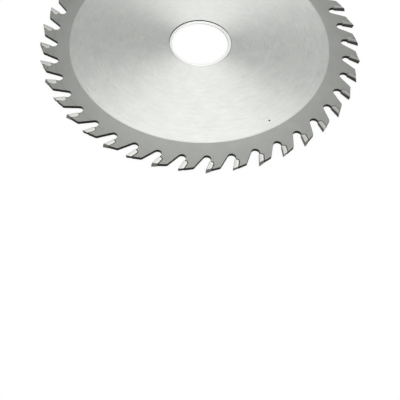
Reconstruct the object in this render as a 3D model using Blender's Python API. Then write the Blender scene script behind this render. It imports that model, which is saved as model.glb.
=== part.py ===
"""A carbide-tipped circular saw blade, lying flat, with a reducing ring in its arbor hole.

The frame: metres, +Z up along the bore's axis. The origin is on that axis, half way through the plate.
The first tooth's point is on +X, and the teeth are numbered anticlockwise as seen from above. The blade
cuts clockwise as seen from above, so each tooth leads with its clockwise side.
"""

import bmesh
import bpy
from math import acos, atan2, cos, hypot, pi, radians, sin, tan
from mathutils import Matrix, Vector

# The whole blade
TIP_CIRCLE_DIAMETER = 0.115
TOOTH_COUNT = 40
BORE_DIAMETER = 0.02223
PLATE_THICKNESS = 0.0011

# The ground centre, which stands a little proud of the blasted rim on both faces
RIM_WIDTH = 0.00445
LAND_HEIGHT = 0.00004
LAND_BEVEL = 0.0004
BORE_CHAMFER = 0.0003

# One carbide tip and its grinding
KERF = 0.0017
TIP_LENGTH = 0.0042
TIP_THICKNESS = 0.0015
TIP_ROOT_RADIUS = 0.0006
HOOK_ANGLE = 20.0
CLEARANCE_ANGLE = 17.0
TOP_BEVEL_ANGLE = 15.0
RADIAL_SIDE_ANGLE = 1.0
TANGENTIAL_SIDE_ANGLE = 2.5

# The joint that holds a tip in its seat, and the plate's shoulder below it
BRAZE_GAP = 0.00025
SHOULDER_SETBACK = 0.0003

# One tooth of the plate, and the gullet in front of it
TOOTH_TOP_LENGTH = 0.0052
TOOTH_TOP_DROP = 0.00012
HEEL_RADIUS = 0.0009
GULLET_DEPTH = 0.0064
GULLET_OFFSET = 0.0006
SHOULDER_CLEARANCE = 0.00011

# The reducing ring, which brings the bore down to a 20 mm arbor
RING_WALL = 0.001015
RING_THICKNESS = 0.00076
RING_RECESS = 0.00038
RING_CHAMFER = 0.00012
RING_GAP = 0.0001

# How finely the round parts are drawn
CIRCLE_STEPS_PER_TOOTH = 4
GULLET_STEPS = 6
CORNER_STEPS = 5
SMOOTH_BELOW = 30.0

# Values that follow from those above
PITCH = 2 * pi / TOOTH_COUNT
TIP_RADIUS = TIP_CIRCLE_DIAMETER / 2
GULLET_BOTTOM = TIP_RADIUS - GULLET_DEPTH
LAND_DIAMETER = 2 * (GULLET_BOTTOM - RIM_WIDTH)
RIM_Z = PLATE_THICKNESS / 2
LAND_Z = RIM_Z + LAND_HEIGHT

# Directions in one tooth's own frame: x runs back from the cutting edge, y runs out along the radius
# through the tooth's point, and z is the blade's axis
HOOK = radians(HOOK_ANGLE)
CLEARANCE = radians(CLEARANCE_ANGLE)
DOWN_THE_FACE = Vector((sin(HOOK), -cos(HOOK), 0))
BEHIND_THE_FACE = Vector((cos(HOOK), sin(HOOK), 0))
DOWN_THE_TOP = Vector((cos(CLEARANCE), -sin(CLEARANCE), 0))
POINT = Vector((0, TIP_RADIUS, 0))


def metal(name, colour, roughness):
    """A bare metal with one colour and one roughness."""
    material = bpy.data.materials.new(name)
    material.use_nodes = True
    shader = material.node_tree.nodes["Principled BSDF"]
    shader.inputs["Base Color"].default_value = (*colour, 1.0)
    shader.inputs["Metallic"].default_value = 1.0
    shader.inputs["Roughness"].default_value = roughness
    return material


def place(name, mesh, turn=0.0):
    """Put a mesh in the scene as a named object, turned about the bore's axis."""
    piece = bpy.data.objects.new(name, mesh)
    piece.rotation_euler = (0, 0, turn)
    bpy.context.scene.collection.objects.link(piece)


def finished(bm, name, material):
    """Turn a bmesh into a mesh whose faces point outwards, smooth where it is round and flat elsewhere."""
    bmesh.ops.recalc_face_normals(bm, faces=bm.faces)
    if bm.calc_volume(signed=True) < 0:
        bmesh.ops.reverse_faces(bm, faces=bm.faces)
    mesh = bpy.data.meshes.new(name)
    bm.to_mesh(mesh)
    bm.free()
    mesh.shade_smooth()
    mesh.set_sharp_from_angle(angle=radians(SMOOTH_BELOW))
    for face in mesh.polygons:
        if abs(face.normal.z) > cos(LAND_HEIGHT / LAND_BEVEL / 2):
            face.use_smooth = False
    mesh.materials.append(material)
    return mesh


def turned(point, angle):
    """A point of one tooth's frame, turned towards the tooth behind."""
    return Matrix.Rotation(-angle, 3, "Z") @ point


def arc(centre, radius, start, end, steps):
    """Points on an arc about a centre, both ends included."""
    angles = [start + (end - start) * i / steps for i in range(steps + 1)]
    return [centre + radius * Vector((cos(a), sin(a), 0)) for a in angles]


def direction(vector):
    """The angle that a vector makes with x."""
    return atan2(vector.y, vector.x)


def rounded(before, corner, after, radius):
    """The arc that rounds the corner between two straight lines."""
    back = (before - corner).normalized()
    ahead = (after - corner).normalized()
    half = back.angle(ahead) / 2
    centre = corner + (back + ahead).normalized() * radius / sin(half)
    start = direction(corner + back * radius / tan(half) - centre)
    end = direction(corner + ahead * radius / tan(half) - centre)
    sweep = (end - start + pi) % (2 * pi) - pi
    return arc(centre, radius, start, start + sweep, CORNER_STEPS)


def crossing(a, along_a, b, along_b):
    """Where two straight lines in one plane cross."""
    return a + along_a * ((b - a).cross(along_b).z / along_a.cross(along_b).z)


def gullet_circle(shoulder):
    """A gullet's centre and radius: it reaches the gullet's depth and stays clear of the tooth's shoulder."""
    across = shoulder.x - GULLET_OFFSET
    above = shoulder.y - GULLET_BOTTOM
    clear = SHOULDER_CLEARANCE
    radius = (across * across + above * above - clear * clear) / (2 * (above + clear))
    return Vector((GULLET_OFFSET, GULLET_BOTTOM + radius, 0)), radius


def touch_angle(point, centre, radius, side):
    """Where the line from a point touches a gullet's circle, as an angle about the circle's centre."""
    away = point - centre
    return direction(away) - side * acos(radius / hypot(away.x, away.y))


def tip_outline(margin=0.0):
    """A tip's face, root and back seen along the blade's axis, or with a margin the seat that holds it."""
    root = POINT + DOWN_THE_FACE * (TIP_LENGTH + margin)
    root_corner = root + BEHIND_THE_FACE * (TIP_THICKNESS + margin)
    back_top = POINT + BEHIND_THE_FACE * (TIP_THICKNESS + margin) - DOWN_THE_FACE * KERF
    return [root, *rounded(root, root_corner, back_top, TIP_ROOT_RADIUS + margin), back_top]


def tooth_outline():
    """The plate's edge from the bottom of one gullet, over the tooth behind it, to the next gullet."""
    seat_floor, *seat_root, seat_back = tip_outline(BRAZE_GAP)
    shoulder = seat_floor + BEHIND_THE_FACE * SHOULDER_SETBACK
    top_start = POINT - Vector((0, TOOTH_TOP_DROP, 0))
    seat_top = crossing(seat_back, DOWN_THE_FACE, top_start, DOWN_THE_TOP)
    heel = top_start + DOWN_THE_TOP * TOOTH_TOP_LENGTH

    centre, radius = gullet_circle(shoulder)
    rise_end = touch_angle(shoulder, centre, radius, 1)
    rise = arc(centre, radius, direction(-centre), rise_end, GULLET_STEPS)

    next_centre = turned(centre, PITCH)
    fall_start = touch_angle(heel, next_centre, radius, -1) - 2 * pi
    fall = arc(next_centre, radius, fall_start, direction(-next_centre), GULLET_STEPS)[:-1]
    heel_round = rounded(seat_top, heel, fall[0], HEEL_RADIUS)
    return [*rise, shoulder, *seat_root, seat_top, *heel_round, *fall]


def in_blade_frame(point, angle, height):
    """A point of one tooth's frame in the blade's own, for the tooth whose point is at that angle."""
    back = Vector((-sin(angle), cos(angle), 0))
    out = Vector((cos(angle), sin(angle), 0))
    return back * point.x + out * point.y + Vector((0, 0, height))


def add_circle(bm, radius, height):
    """Add a circle of vertices about the bore's axis, with as many steps for each tooth."""
    steps = TOOTH_COUNT * CIRCLE_STEPS_PER_TOOTH
    angles = [2 * pi * i / steps for i in range(steps)]
    return [bm.verts.new((radius * cos(a), radius * sin(a), height)) for a in angles]


def join_rings(bm, rings):
    """Join each ring of vertices to the next by a strip of faces."""
    for ring, following in zip(rings, rings[1:]):
        for i in range(len(ring)):
            bm.faces.new((ring[i - 1], ring[i], following[i], following[i - 1]))


def add_rim(bm, outline, foot):
    """Fill the rim between the toothed edge and the land's foot, one face for each tooth."""
    length = len(outline) // TOOTH_COUNT
    for tooth in range(TOOTH_COUNT):
        edge = [outline[(tooth * length + i) % len(outline)] for i in range(length + 1)]
        first = tooth * CIRCLE_STEPS_PER_TOOTH
        below = [foot[(first + i) % len(foot)] for i in range(CIRCLE_STEPS_PER_TOOTH + 1)]
        bm.faces.new([*edge, *reversed(below)])


def make_plate(material):
    """The steel disc: its toothed edge, the proud ground centre on both faces, and the bore."""
    bm = bmesh.new()
    bore = BORE_DIAMETER / 2
    tooth = tooth_outline()
    outlines = []
    walls = []
    for face in (1, -1):
        points = [in_blade_frame(p, PITCH * i, face * RIM_Z) for i in range(TOOTH_COUNT) for p in tooth]
        outline = [bm.verts.new(p) for p in points]
        foot = add_circle(bm, LAND_DIAMETER / 2, face * RIM_Z)
        land_edge = add_circle(bm, LAND_DIAMETER / 2 - LAND_BEVEL, face * LAND_Z)
        chamfer_edge = add_circle(bm, bore + BORE_CHAMFER, face * LAND_Z)
        wall = add_circle(bm, bore, face * (LAND_Z - BORE_CHAMFER))
        add_rim(bm, outline, foot)
        join_rings(bm, [foot, land_edge, chamfer_edge, wall])
        outlines.append(outline)
        walls.append(wall)
    join_rings(bm, outlines)
    join_rings(bm, walls)
    return finished(bm, "plate", material)


def grind(bm, point, outward):
    """Take away what stands outside a plane and close the cut, as a grinding wheel leaves it."""
    geometry = [*bm.verts, *bm.edges, *bm.faces]
    cut = bmesh.ops.bisect_plane(bm, geom=geometry, plane_co=point, plane_no=outward, clear_outer=True)
    edges = [item for item in cut["geom_cut"] if isinstance(item, bmesh.types.BMEdge)]
    bmesh.ops.edgenet_fill(bm, edges=edges)


def make_tip(long_side, material):
    """A tip with its two sides and its top ground. The bevel leaves its long point at +Z or at -Z."""
    bm = bmesh.new()
    blank = [POINT - DOWN_THE_FACE * KERF, *tip_outline()]
    bm.faces.new([bm.verts.new(p - Vector((0, 0, KERF))) for p in blank])
    block = bmesh.ops.extrude_face_region(bm, geom=list(bm.faces))["geom"]
    upper = [item for item in block if isinstance(item, bmesh.types.BMVert)]
    bmesh.ops.translate(bm, verts=upper, vec=(0, 0, 2 * KERF))

    radial = DOWN_THE_FACE * tan(radians(RADIAL_SIDE_ANGLE))
    tangential = BEHIND_THE_FACE * tan(radians(TANGENTIAL_SIDE_ANGLE))
    for side in (1, -1):
        up = Vector((0, 0, side))
        grind(bm, POINT + up * KERF / 2, (up + radial + tangential).normalized())

    long_up = Vector((0, 0, long_side))
    top_out = Vector((tan(CLEARANCE), 1, 0)) - long_up * tan(radians(TOP_BEVEL_ANGLE))
    grind(bm, POINT + long_up * KERF / 2, top_out.normalized())

    for vert in bm.verts:
        vert.co = in_blade_frame(vert.co, 0.0, vert.co.z)
    return finished(bm, "tip_long_above" if long_side > 0 else "tip_long_below", material)


def make_ring(material):
    """The reducing ring: a turned band with a chamfer on each of its four edges."""
    outer = BORE_DIAMETER / 2 - RING_GAP
    inner = outer - RING_WALL
    top = LAND_Z - RING_RECESS
    bottom = top - RING_THICKNESS
    section = [
        (outer, top - RING_CHAMFER),
        (outer - RING_CHAMFER, top),
        (inner + RING_CHAMFER, top),
        (inner, top - RING_CHAMFER),
        (inner, bottom + RING_CHAMFER),
        (inner + RING_CHAMFER, bottom),
        (outer - RING_CHAMFER, bottom),
        (outer, bottom + RING_CHAMFER),
    ]
    bm = bmesh.new()
    rings = [add_circle(bm, radius, height) for radius, height in section]
    join_rings(bm, [*rings, rings[0]])
    return finished(bm, "ring", material)


def main():
    """Build the plate, its tips and the ring."""
    for old in list(bpy.data.objects):
        bpy.data.objects.remove(old)

    plate_steel = metal("ground_plate_steel", (0.52, 0.53, 0.51), 0.35)
    carbide = metal("ground_carbide", (0.40, 0.40, 0.38), 0.30)
    ring_steel = metal("bright_ring_steel", (0.75, 0.75, 0.74), 0.25)

    place("blade_plate", make_plate(plate_steel))
    place("reducing_ring", make_ring(ring_steel))
    long_above = make_tip(1, carbide)
    long_below = make_tip(-1, carbide)
    for i in range(TOOTH_COUNT):
        tip = long_above if i % 2 == 0 else long_below
        place(f"carbide_tip_{i + 1:02d}", tip, turn=PITCH * i)


main()
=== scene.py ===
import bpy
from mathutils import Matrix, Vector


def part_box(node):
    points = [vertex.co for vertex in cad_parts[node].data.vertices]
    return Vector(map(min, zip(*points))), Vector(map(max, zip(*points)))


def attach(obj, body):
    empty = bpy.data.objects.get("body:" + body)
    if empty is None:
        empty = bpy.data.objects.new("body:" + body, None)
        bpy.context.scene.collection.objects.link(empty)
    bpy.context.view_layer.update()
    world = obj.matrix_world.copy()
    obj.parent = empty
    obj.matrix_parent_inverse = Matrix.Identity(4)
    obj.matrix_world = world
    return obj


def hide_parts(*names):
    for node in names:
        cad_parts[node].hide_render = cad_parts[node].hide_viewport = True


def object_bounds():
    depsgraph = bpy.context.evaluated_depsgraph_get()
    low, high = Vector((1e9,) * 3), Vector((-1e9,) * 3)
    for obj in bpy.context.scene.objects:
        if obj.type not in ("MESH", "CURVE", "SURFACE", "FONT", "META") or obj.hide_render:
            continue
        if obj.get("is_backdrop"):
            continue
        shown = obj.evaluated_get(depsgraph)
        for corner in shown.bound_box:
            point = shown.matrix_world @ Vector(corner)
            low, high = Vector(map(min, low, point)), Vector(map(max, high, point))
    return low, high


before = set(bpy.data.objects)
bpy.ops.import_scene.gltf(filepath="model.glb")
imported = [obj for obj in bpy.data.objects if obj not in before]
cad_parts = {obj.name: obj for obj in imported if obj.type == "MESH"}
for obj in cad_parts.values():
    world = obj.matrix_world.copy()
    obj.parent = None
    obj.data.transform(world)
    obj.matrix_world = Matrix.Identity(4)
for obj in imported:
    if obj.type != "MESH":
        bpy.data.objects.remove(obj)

"""The looks of a carbide-tipped circular saw blade, lying flat on a pale table.

The blade is a steel plate with a polished centre and a blasted rim, forty ground carbide tips, the braze that
holds them, and a turned reducing ring in the bore. Lengths are in metres and angles in degrees. The frame is
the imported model's: +Z up the bore's axis, the origin half way through the plate, and the first tooth's point
on +X. The teeth are numbered anticlockwise as seen from above, and each leads with its clockwise side.
"""

import logging
import math
from dataclasses import dataclass
from enum import Enum

import bmesh
import bpy
from mathutils import Matrix, Vector

# Short names for types: what the node functions pass on, and a place or a direction as three numbers
Tree = bpy.types.NodeTree
Node = bpy.types.Node
Socket = bpy.types.NodeSocket
Triple = tuple[float, float, float]

LOG = logging.getLogger("saw_blade")
MM = 0.001
BODY = "root"

# The attributes on the meshes: the place that a point has at the first tooth, the tooth's chance number, and
# the face's zone
TOOTH_PLACE = "tooth_place"
TOOTH_CHANCE = "tooth_chance"
ZONE = "zone"

# What the materials share: the height of their bumps, the turn that lays a streak across the rings, and the
# colour of settled dirt
BUMP_HEIGHT = 0.1 * MM
QUARTER_TURN = 0.25
DIRT_COLOUR = "#2E2E2B"

# Noise seldom comes near 0 or 1, so this much of its range is cut off at each end when it is stretched
NOISE_CUT = 0.3

# The seed of the teeth's chance numbers
SEED = 7

# The first tooth's point, and the direction from its cutting face to the joint
TOOTH_POINT = (57.5 * MM, 0.0, 0.0)
TOWARDS_THE_JOINT = (math.sin(math.radians(20.0)), math.cos(math.radians(20.0)), 0.0)

# The ring's hole, which the photo shows a little off the blade's axis
HOLE_RADIUS = 10.15 * MM
HOLE_PLACE = (-0.17 * MM, 0.0, 0.0)


def linear(hex_colour: str) -> tuple[float, float, float, float]:
    """Turn an sRGB hex colour into the linear one that a shader takes.

    Args:
        hex_colour: Six hex digits after a hash sign.

    Returns:
        Red, green, blue and an alpha of one.
    """
    channels = [int(hex_colour[i:i + 2], 16) / 255 for i in (1, 3, 5)]
    return (*[c / 12.92 if c <= 0.04045 else ((c + 0.055) / 1.055) ** 2.4 for c in channels], 1.0)


def add(tree: Tree, kind: str, inputs: dict | None = None, **settings) -> Node:
    """Add a node to a tree with its settings, values and links.

    Args:
        tree: The shader or geometry tree.
        kind: The node's type name.
        inputs: For each input's name or number, its value, or the socket or node that feeds it. A node
            feeds it by its first live output.
        settings: The node's own properties.

    Returns:
        The new node.
    """
    node = tree.nodes.new(kind)
    for name, value in settings.items():
        setattr(node, name, value)
    for key, value in (inputs or {}).items():
        if isinstance(value, Node):
            value = next(output for output in value.outputs if output.enabled)
        if isinstance(value, Socket):
            tree.links.new(value, node.inputs[key])
        else:
            node.inputs[key].default_value = value
    return node


class Zone(Enum):
    """The differently finished parts of the plate's and the tips' surfaces."""

    RIM = 0
    LAND_EDGE = 1
    LAND = 2
    BORE = 3
    CUT_EDGE = 4
    TIP_SIDE = 5
    TIP_FACE = 6
    TIP_TOP = 7
    TIP_BACK = 8
    TIP_UNDERCUT = 9


class LongSide(Enum):
    """The side on which a bevelled tip has its long point."""

    ABOVE = 1
    BELOW = -1


@dataclass(frozen=True)
class Metal:
    """A metal surface: its two colours, how rough it is, and how deep its marks are.

    The marks come from the way the surface was made. Each kind of surface adds its own in draw_marks, and
    its stains in stains.
    """

    name: str
    light: str
    dark: str
    roughness: float
    roughness_spread: float
    bump: float
    anisotropic: float = 0.0

    def material(self) -> bpy.types.Material:
        """Make the node material of this surface."""
        made = bpy.data.materials.new(self.name)
        made.use_nodes = True
        tree = made.node_tree
        shader = tree.nodes["Principled BSDF"]
        shader.inputs["Metallic"].default_value = 1.0
        shader.inputs["Anisotropic"].default_value = self.anisotropic
        place = add(tree, "ShaderNodeTexCoord").outputs["Object"]
        tone, height = self.draw_marks(tree, place)
        colour = add(tree, "ShaderNodeMix", {
            "Factor": tone, "A": linear(self.dark), "B": linear(self.light),
        }, data_type="RGBA")
        for share, stain in self.stains(tree, place):
            colour = add(tree, "ShaderNodeMix", {
                "Factor": share, "A": colour, "B": linear(stain),
            }, data_type="RGBA")
        rough = add(tree, "ShaderNodeMapRange", {
            "Value": tone, "To Min": self.roughness + self.roughness_spread,
            "To Max": self.roughness - self.roughness_spread,
        })
        bump = add(tree, "ShaderNodeBump", {"Strength": self.bump, "Distance": BUMP_HEIGHT, "Height": height})
        tree.links.new(colour.outputs["Result"], shader.inputs["Base Color"])
        tree.links.new(rough.outputs["Result"], shader.inputs["Roughness"])
        tree.links.new(bump.outputs["Normal"], shader.inputs["Normal"])
        if self.anisotropic > 0:
            rings = add(tree, "ShaderNodeTangent", direction_type="RADIAL", axis="Z")
            tree.links.new(rings.outputs["Tangent"], shader.inputs["Tangent"])
            shader.inputs["Anisotropic Rotation"].default_value = QUARTER_TURN
        return made

    def draw_marks(self, tree: Tree, place: Socket) -> tuple[Node, Node]:
        """Draw the surface's marks.

        Args:
            tree: The material's tree.
            place: The point on the object, in metres.

        Returns:
            The tone, from 0 at the dark colour to 1 at the light one, and the height in BUMP_HEIGHT.
        """
        raise NotImplementedError

    def stains(self, tree: Tree, place: Socket) -> list[tuple[Node, str]]:
        """Find the stains that lie on the bare colour. A clean surface has none.

        Args:
            tree: The material's tree.
            place: The point on the object, in metres.

        Returns:
            Each stain's share, from 0 to 1, and its colour, in the order in which they are laid.
        """
        return []


def turning_marks(
    tree: Tree, place: Socket, length: float, spacing: float, at_radius: float, detail: float = 3.0
) -> Node:
    """Noise drawn out along circles about the blade's axis, as turning and polishing leave it.

    Args:
        tree: The material's tree.
        place: The point on the object, in metres.
        length: How long a mark is, in metres, at the given radius.
        spacing: The distance between marks, in metres.
        at_radius: The radius at which the marks have that length.
        detail: How much finer noise is laid over the marks.

    Returns:
        The noise, from 0 to 1.
    """
    flat = add(tree, "ShaderNodeVectorMath", {0: place, 1: (1.0, 1.0, 0.0)}, operation="MULTIPLY")
    direction = add(tree, "ShaderNodeVectorMath", {0: flat}, operation="NORMALIZE")
    radius = add(tree, "ShaderNodeVectorMath", {0: flat}, operation="LENGTH")
    around = add(tree, "ShaderNodeVectorMath", {0: direction, "Scale": at_radius / length}, operation="SCALE")
    outward = add(tree, "ShaderNodeMath", {0: radius, 1: 1.0 / spacing}, operation="MULTIPLY")
    lift = add(tree, "ShaderNodeCombineXYZ", {"Z": outward})
    spot = add(tree, "ShaderNodeVectorMath", {0: around, 1: lift}, operation="ADD")
    return add(tree, "ShaderNodeTexNoise", {"Vector": spot, "Scale": 1.0, "Detail": detail})


def mottled(
    tree: Tree,
    place: Socket | Node,
    size: float,
    levels: tuple[float, float] = (0.0, 1.0),
    detail: float = 2.0,
    cut: float = NOISE_CUT,
) -> tuple[Node, Node]:
    """Noise with grains of one size, its middle stretched between two levels.

    Args:
        tree: The material's tree.
        place: The point, in metres.
        size: The size of the grains, in metres.
        levels: The levels that it runs from and to.
        detail: How much finer noise is laid over the grains.
        cut: How much of the noise's range is cut off at each end.

    Returns:
        The stretched noise, and the noise itself, from 0 to 1.
    """
    noise = add(tree, "ShaderNodeTexNoise", {"Vector": place, "Scale": 1 / size, "Detail": detail})
    low, high = levels
    stretched = add(tree, "ShaderNodeMapRange", {
        "Value": noise, "From Min": cut, "From Max": 1 - cut, "To Min": low, "To Max": high,
    })
    return stretched, noise


def from_upright(tree: Tree, place: Socket | Node, foot: Triple = (0.0, 0.0, 0.0)) -> Node:
    """Measure how far a point lies from a line that stands upright, such as the blade's axis.

    Args:
        tree: The shader or geometry tree.
        place: The point, in metres.
        foot: Where the line crosses the plate's middle plane.

    Returns:
        The node that gives the distance.
    """
    flat = add(tree, "ShaderNodeVectorMath", {0: place, 1: (1.0, 1.0, 0.0)}, operation="MULTIPLY")
    return add(tree, "ShaderNodeVectorMath", {0: flat, 1: foot}, operation="DISTANCE")


@dataclass(frozen=True)
class Reach:
    """A stain that grows along a direction, from nothing at its start to its most at its end."""

    direction: Triple
    start: float
    end: float
    most: float = 1.0
    smooth: bool = False
    foot: Triple = (0.0, 0.0, 0.0)

    def share(self, tree: Tree, place: Socket) -> Node:
        """Find the stain's share.

        Args:
            tree: The material's tree.
            place: The point, in metres, which is measured from the foot.

        Returns:
            The node that gives the share.
        """
        past = add(tree, "ShaderNodeVectorMath", {0: place, 1: self.foot}, operation="SUBTRACT")
        along = add(tree, "ShaderNodeVectorMath", {0: past, 1: self.direction}, operation="DOT_PRODUCT")
        return add(tree, "ShaderNodeMapRange", {
            "Value": along, "From Min": self.start, "From Max": self.end, "To Max": self.most,
        }, interpolation_type="SMOOTHSTEP" if self.smooth else "LINEAR")


@dataclass(frozen=True)
class Spot:
    """A round stain, at its most within its core, and nothing at its radius."""

    centre: Triple
    radius: float
    most: float = 1.0
    core: float = 0.5
    upright: bool = False

    def share(self, tree: Tree, place: Socket, most: Node | None = None) -> Node:
        """Find the stain's share.

        Args:
            tree: The material's tree.
            place: The point, in metres. An upright spot takes no notice of its height.
            most: What takes the place of the stain's own most.

        Returns:
            The node that gives the share.
        """
        if self.upright:
            away = from_upright(tree, place, self.centre)
        else:
            away = add(tree, "ShaderNodeVectorMath", {0: place, 1: self.centre}, operation="DISTANCE")
        return add(tree, "ShaderNodeMapRange", {
            "Value": away, "From Min": self.radius, "From Max": self.radius * self.core,
            "To Max": self.most if most is None else most,
        })


@dataclass(frozen=True)
class PolishedCentre(Metal):
    """Hardened tool steel, polished as it turns. Its fine rings draw the light out into two bright fans."""

    # The polish's rings are finer than a pixel, so they are drawn coarser to show
    ring_spacing: float = 1.1 * MM
    ring_length: float = 5.0 * MM
    scratch_spacing: float = 0.6 * MM
    scratch_length: float = 2.2 * MM
    at_radius: float = 30.0 * MM
    ring_levels: tuple[float, float] = (0.2, 0.5)
    scratch_levels: tuple[float, float] = (0.63, 0.75)
    scratch_depth: float = 0.6
    cloud_size: float = 6.0 * MM
    pit: Spot = Spot((27.77 * MM, -32.27 * MM, 0.64 * MM), radius=0.45 * MM)

    def draw_marks(self, tree: Tree, place: Socket) -> tuple[Node, Node]:
        """Draw fine rings, short scratches that are brighter or duller, and faint clouds."""
        rings = turning_marks(tree, place, self.ring_length, self.ring_spacing, self.at_radius, detail=1.0)
        scratches = turning_marks(
            tree, place, self.scratch_length, self.scratch_spacing, self.at_radius, detail=1.0
        )
        low, high = self.ring_levels
        ringed = add(tree, "ShaderNodeMapRange", {
            "Value": rings, "From Min": NOISE_CUT, "From Max": 1 - NOISE_CUT, "To Min": low, "To Max": high,
        })
        clouded, _ = mottled(tree, place, self.cloud_size, levels=(0.0, 0.3))
        shown, full = self.scratch_levels
        bright = add(tree, "ShaderNodeMapRange", {
            "Value": scratches, "From Min": shown, "From Max": full, "To Max": self.scratch_depth,
        })
        dull = add(tree, "ShaderNodeMapRange", {
            "Value": scratches, "From Min": 1 - shown, "From Max": 1 - full, "To Max": self.scratch_depth,
        })
        base = add(tree, "ShaderNodeMath", {0: ringed, 1: clouded}, operation="ADD")
        raised = add(tree, "ShaderNodeMath", {0: base, 1: bright}, operation="ADD")
        return add(tree, "ShaderNodeMath", {0: raised, 1: dull}, operation="SUBTRACT"), rings

    def stains(self, tree: Tree, place: Socket) -> list[tuple[Node, str]]:
        """The dirt in the one pit that the polish left."""
        return [(self.pit.share(tree, place), DIRT_COLOUR)]


@dataclass(frozen=True)
class BlastedRim(Metal):
    """The same steel, blasted with glass beads: even, matte and a little darker.

    The photo shows it duller towards the teeth, read here as the heat of brazing, and one faint darker ring
    on one side only, fading out towards +X.
    """

    grain_size: float = 0.25 * MM
    cloud_size: float = 5.0 * MM
    blotch_size: float = 0.7 * MM
    dull_from: float = 47.5 * MM
    dull_to: float = 54.5 * MM
    dull_depth: float = 0.3
    dull_colour: str = "#8B8D87"
    ring_radius: float = 52.45 * MM
    ring_width: float = 0.4 * MM
    ring_left: Reach = Reach((-1.0, 0.0, 0.0), start=-5.0 * MM, end=38.0 * MM, most=0.32)
    # Burnt flux at each tip's root with painted shade of the notch there, deeper or fainter at random by tooth
    flux: Spot = Spot((53.3 * MM, 1.85 * MM, 0.55 * MM), radius=0.5 * MM, core=0.3)
    flux_and_shade_colour: str = "#55554D"
    pits: tuple[Spot, ...] = (
        Spot((-51.3 * MM, -20.75 * MM, 0.55 * MM), radius=0.5 * MM, most=0.5),
        Spot((-52.9 * MM, -14.0 * MM, 0.55 * MM), radius=0.35 * MM, most=0.3),
    )

    def draw_marks(self, tree: Tree, place: Socket) -> tuple[Node, Node]:
        """Draw the blasted grains and faint clouds."""
        grained, grains = mottled(tree, place, self.grain_size, levels=(0.25, 0.5))
        clouded, _ = mottled(tree, place, self.cloud_size, levels=(0.0, 0.25))
        return add(tree, "ShaderNodeMath", {0: grained, 1: clouded}, operation="ADD"), grains

    def stains(self, tree: Tree, place: Socket) -> list[tuple[Node, str]]:
        """Dullness to the teeth and on the faint ring, flux with painted shade at the roots, and pits."""
        radius = from_upright(tree, place)
        outside = add(tree, "ShaderNodeMapRange", {
            "Value": radius, "From Min": self.dull_from, "From Max": self.dull_to, "To Max": self.dull_depth,
        })
        off_ring = add(tree, "ShaderNodeMath", {0: radius, 1: self.ring_radius}, operation="SUBTRACT")
        distance = add(tree, "ShaderNodeMath", {0: off_ring}, operation="ABSOLUTE")
        ring = add(tree, "ShaderNodeMapRange", {
            "Value": distance, "From Min": self.ring_width, "From Max": 0.0,
            "To Max": self.ring_left.share(tree, place),
        })
        both = add(tree, "ShaderNodeMath", {0: outside, 1: ring}, operation="ADD")
        uneven, _ = mottled(tree, place, self.blotch_size, levels=(0.6, 1.4), detail=3.0, cut=0.35)
        dulled = add(tree, "ShaderNodeMath", {0: both, 1: uneven}, operation="MULTIPLY")
        own = add(tree, "ShaderNodeAttribute", attribute_name=TOOTH_PLACE).outputs["Vector"]
        chance = add(tree, "ShaderNodeAttribute", attribute_name=TOOTH_CHANCE).outputs["Fac"]
        pits = [(pit.share(tree, place), DIRT_COLOUR) for pit in self.pits]
        return [(dulled, self.dull_colour), (self.flux.share(tree, own, chance), self.flux_and_shade_colour), *pits]


@dataclass(frozen=True)
class TurnedSteel(Metal):
    """Bright steel from the lathe, with fine feed marks round the axis."""

    ring_spacing: float = 0.12 * MM
    ring_length: float = 15.0 * MM
    at_radius: float = 10.0 * MM

    def draw_marks(self, tree: Tree, place: Socket) -> tuple[Node, Node]:
        """Draw the feed marks."""
        rings = turning_marks(tree, place, self.ring_length, self.ring_spacing, self.at_radius)
        tone = add(tree, "ShaderNodeMapRange", {
            "Value": rings, "From Min": NOISE_CUT, "From Max": 1 - NOISE_CUT,
        })
        return tone, rings


@dataclass(frozen=True)
class RingWithShadedHole(TurnedSteel):
    """Turned steel whose own hole is greyed with painted shade.

    The photo shows it most on one side, so the painted shade is strongest towards that side.
    """

    hole: Triple = HOLE_PLACE
    reamed_within: float = HOLE_RADIUS + 0.06 * MM
    # The hole's wall is greyed with painted shade, most towards one side
    hole_shade_colour: str = "#DEDFDD"
    dull: Reach = Reach((0.94, 0.34, 0.0), start=-7.0 * MM, end=5.0 * MM)

    def stains(self, tree: Tree, place: Socket) -> list[tuple[Node, str]]:
        """The painted shade on the wall of the hole."""
        radius = from_upright(tree, place, self.hole)
        reamed = add(tree, "ShaderNodeMath", {0: radius, 1: self.reamed_within}, operation="LESS_THAN")
        share = self.dull.share(tree, place)
        dulled = add(tree, "ShaderNodeMath", {0: reamed, 1: share}, operation="MULTIPLY")
        return [(dulled, self.hole_shade_colour)]


@dataclass(frozen=True)
class BoreWithPaintedShade(TurnedSteel):
    """Turned steel in the mouth of the bore, dark on one side in the photo.

    That darkness is painted shade.
    """

    # Painted shade in the bore's mouth, thickening towards one side
    painted_shade: Reach = Reach((-0.34, 0.94, 0.0), start=0.0, end=10.5 * MM, smooth=True)
    painted_shade_colour: str = "#484946"

    def stains(self, tree: Tree, place: Socket) -> list[tuple[Node, str]]:
        """The painted shade, which thickens towards its side."""
        return [(self.painted_shade.share(tree, place), self.painted_shade_colour)]


@dataclass(frozen=True)
class LaserCutEdge(Metal):
    """The laser's cut: near black scale and painted shade, striated through the plate's thickness."""

    striation: float = 0.18 * MM
    stretch: float = 0.12

    def draw_marks(self, tree: Tree, place: Socket) -> tuple[Node, Node]:
        """Draw the striations, which are long through the plate and narrow along its edge."""
        drawn = add(tree, "ShaderNodeMapping", {"Vector": place, "Scale": (1.0, 1.0, self.stretch)})
        return mottled(tree, drawn, self.striation)


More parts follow.
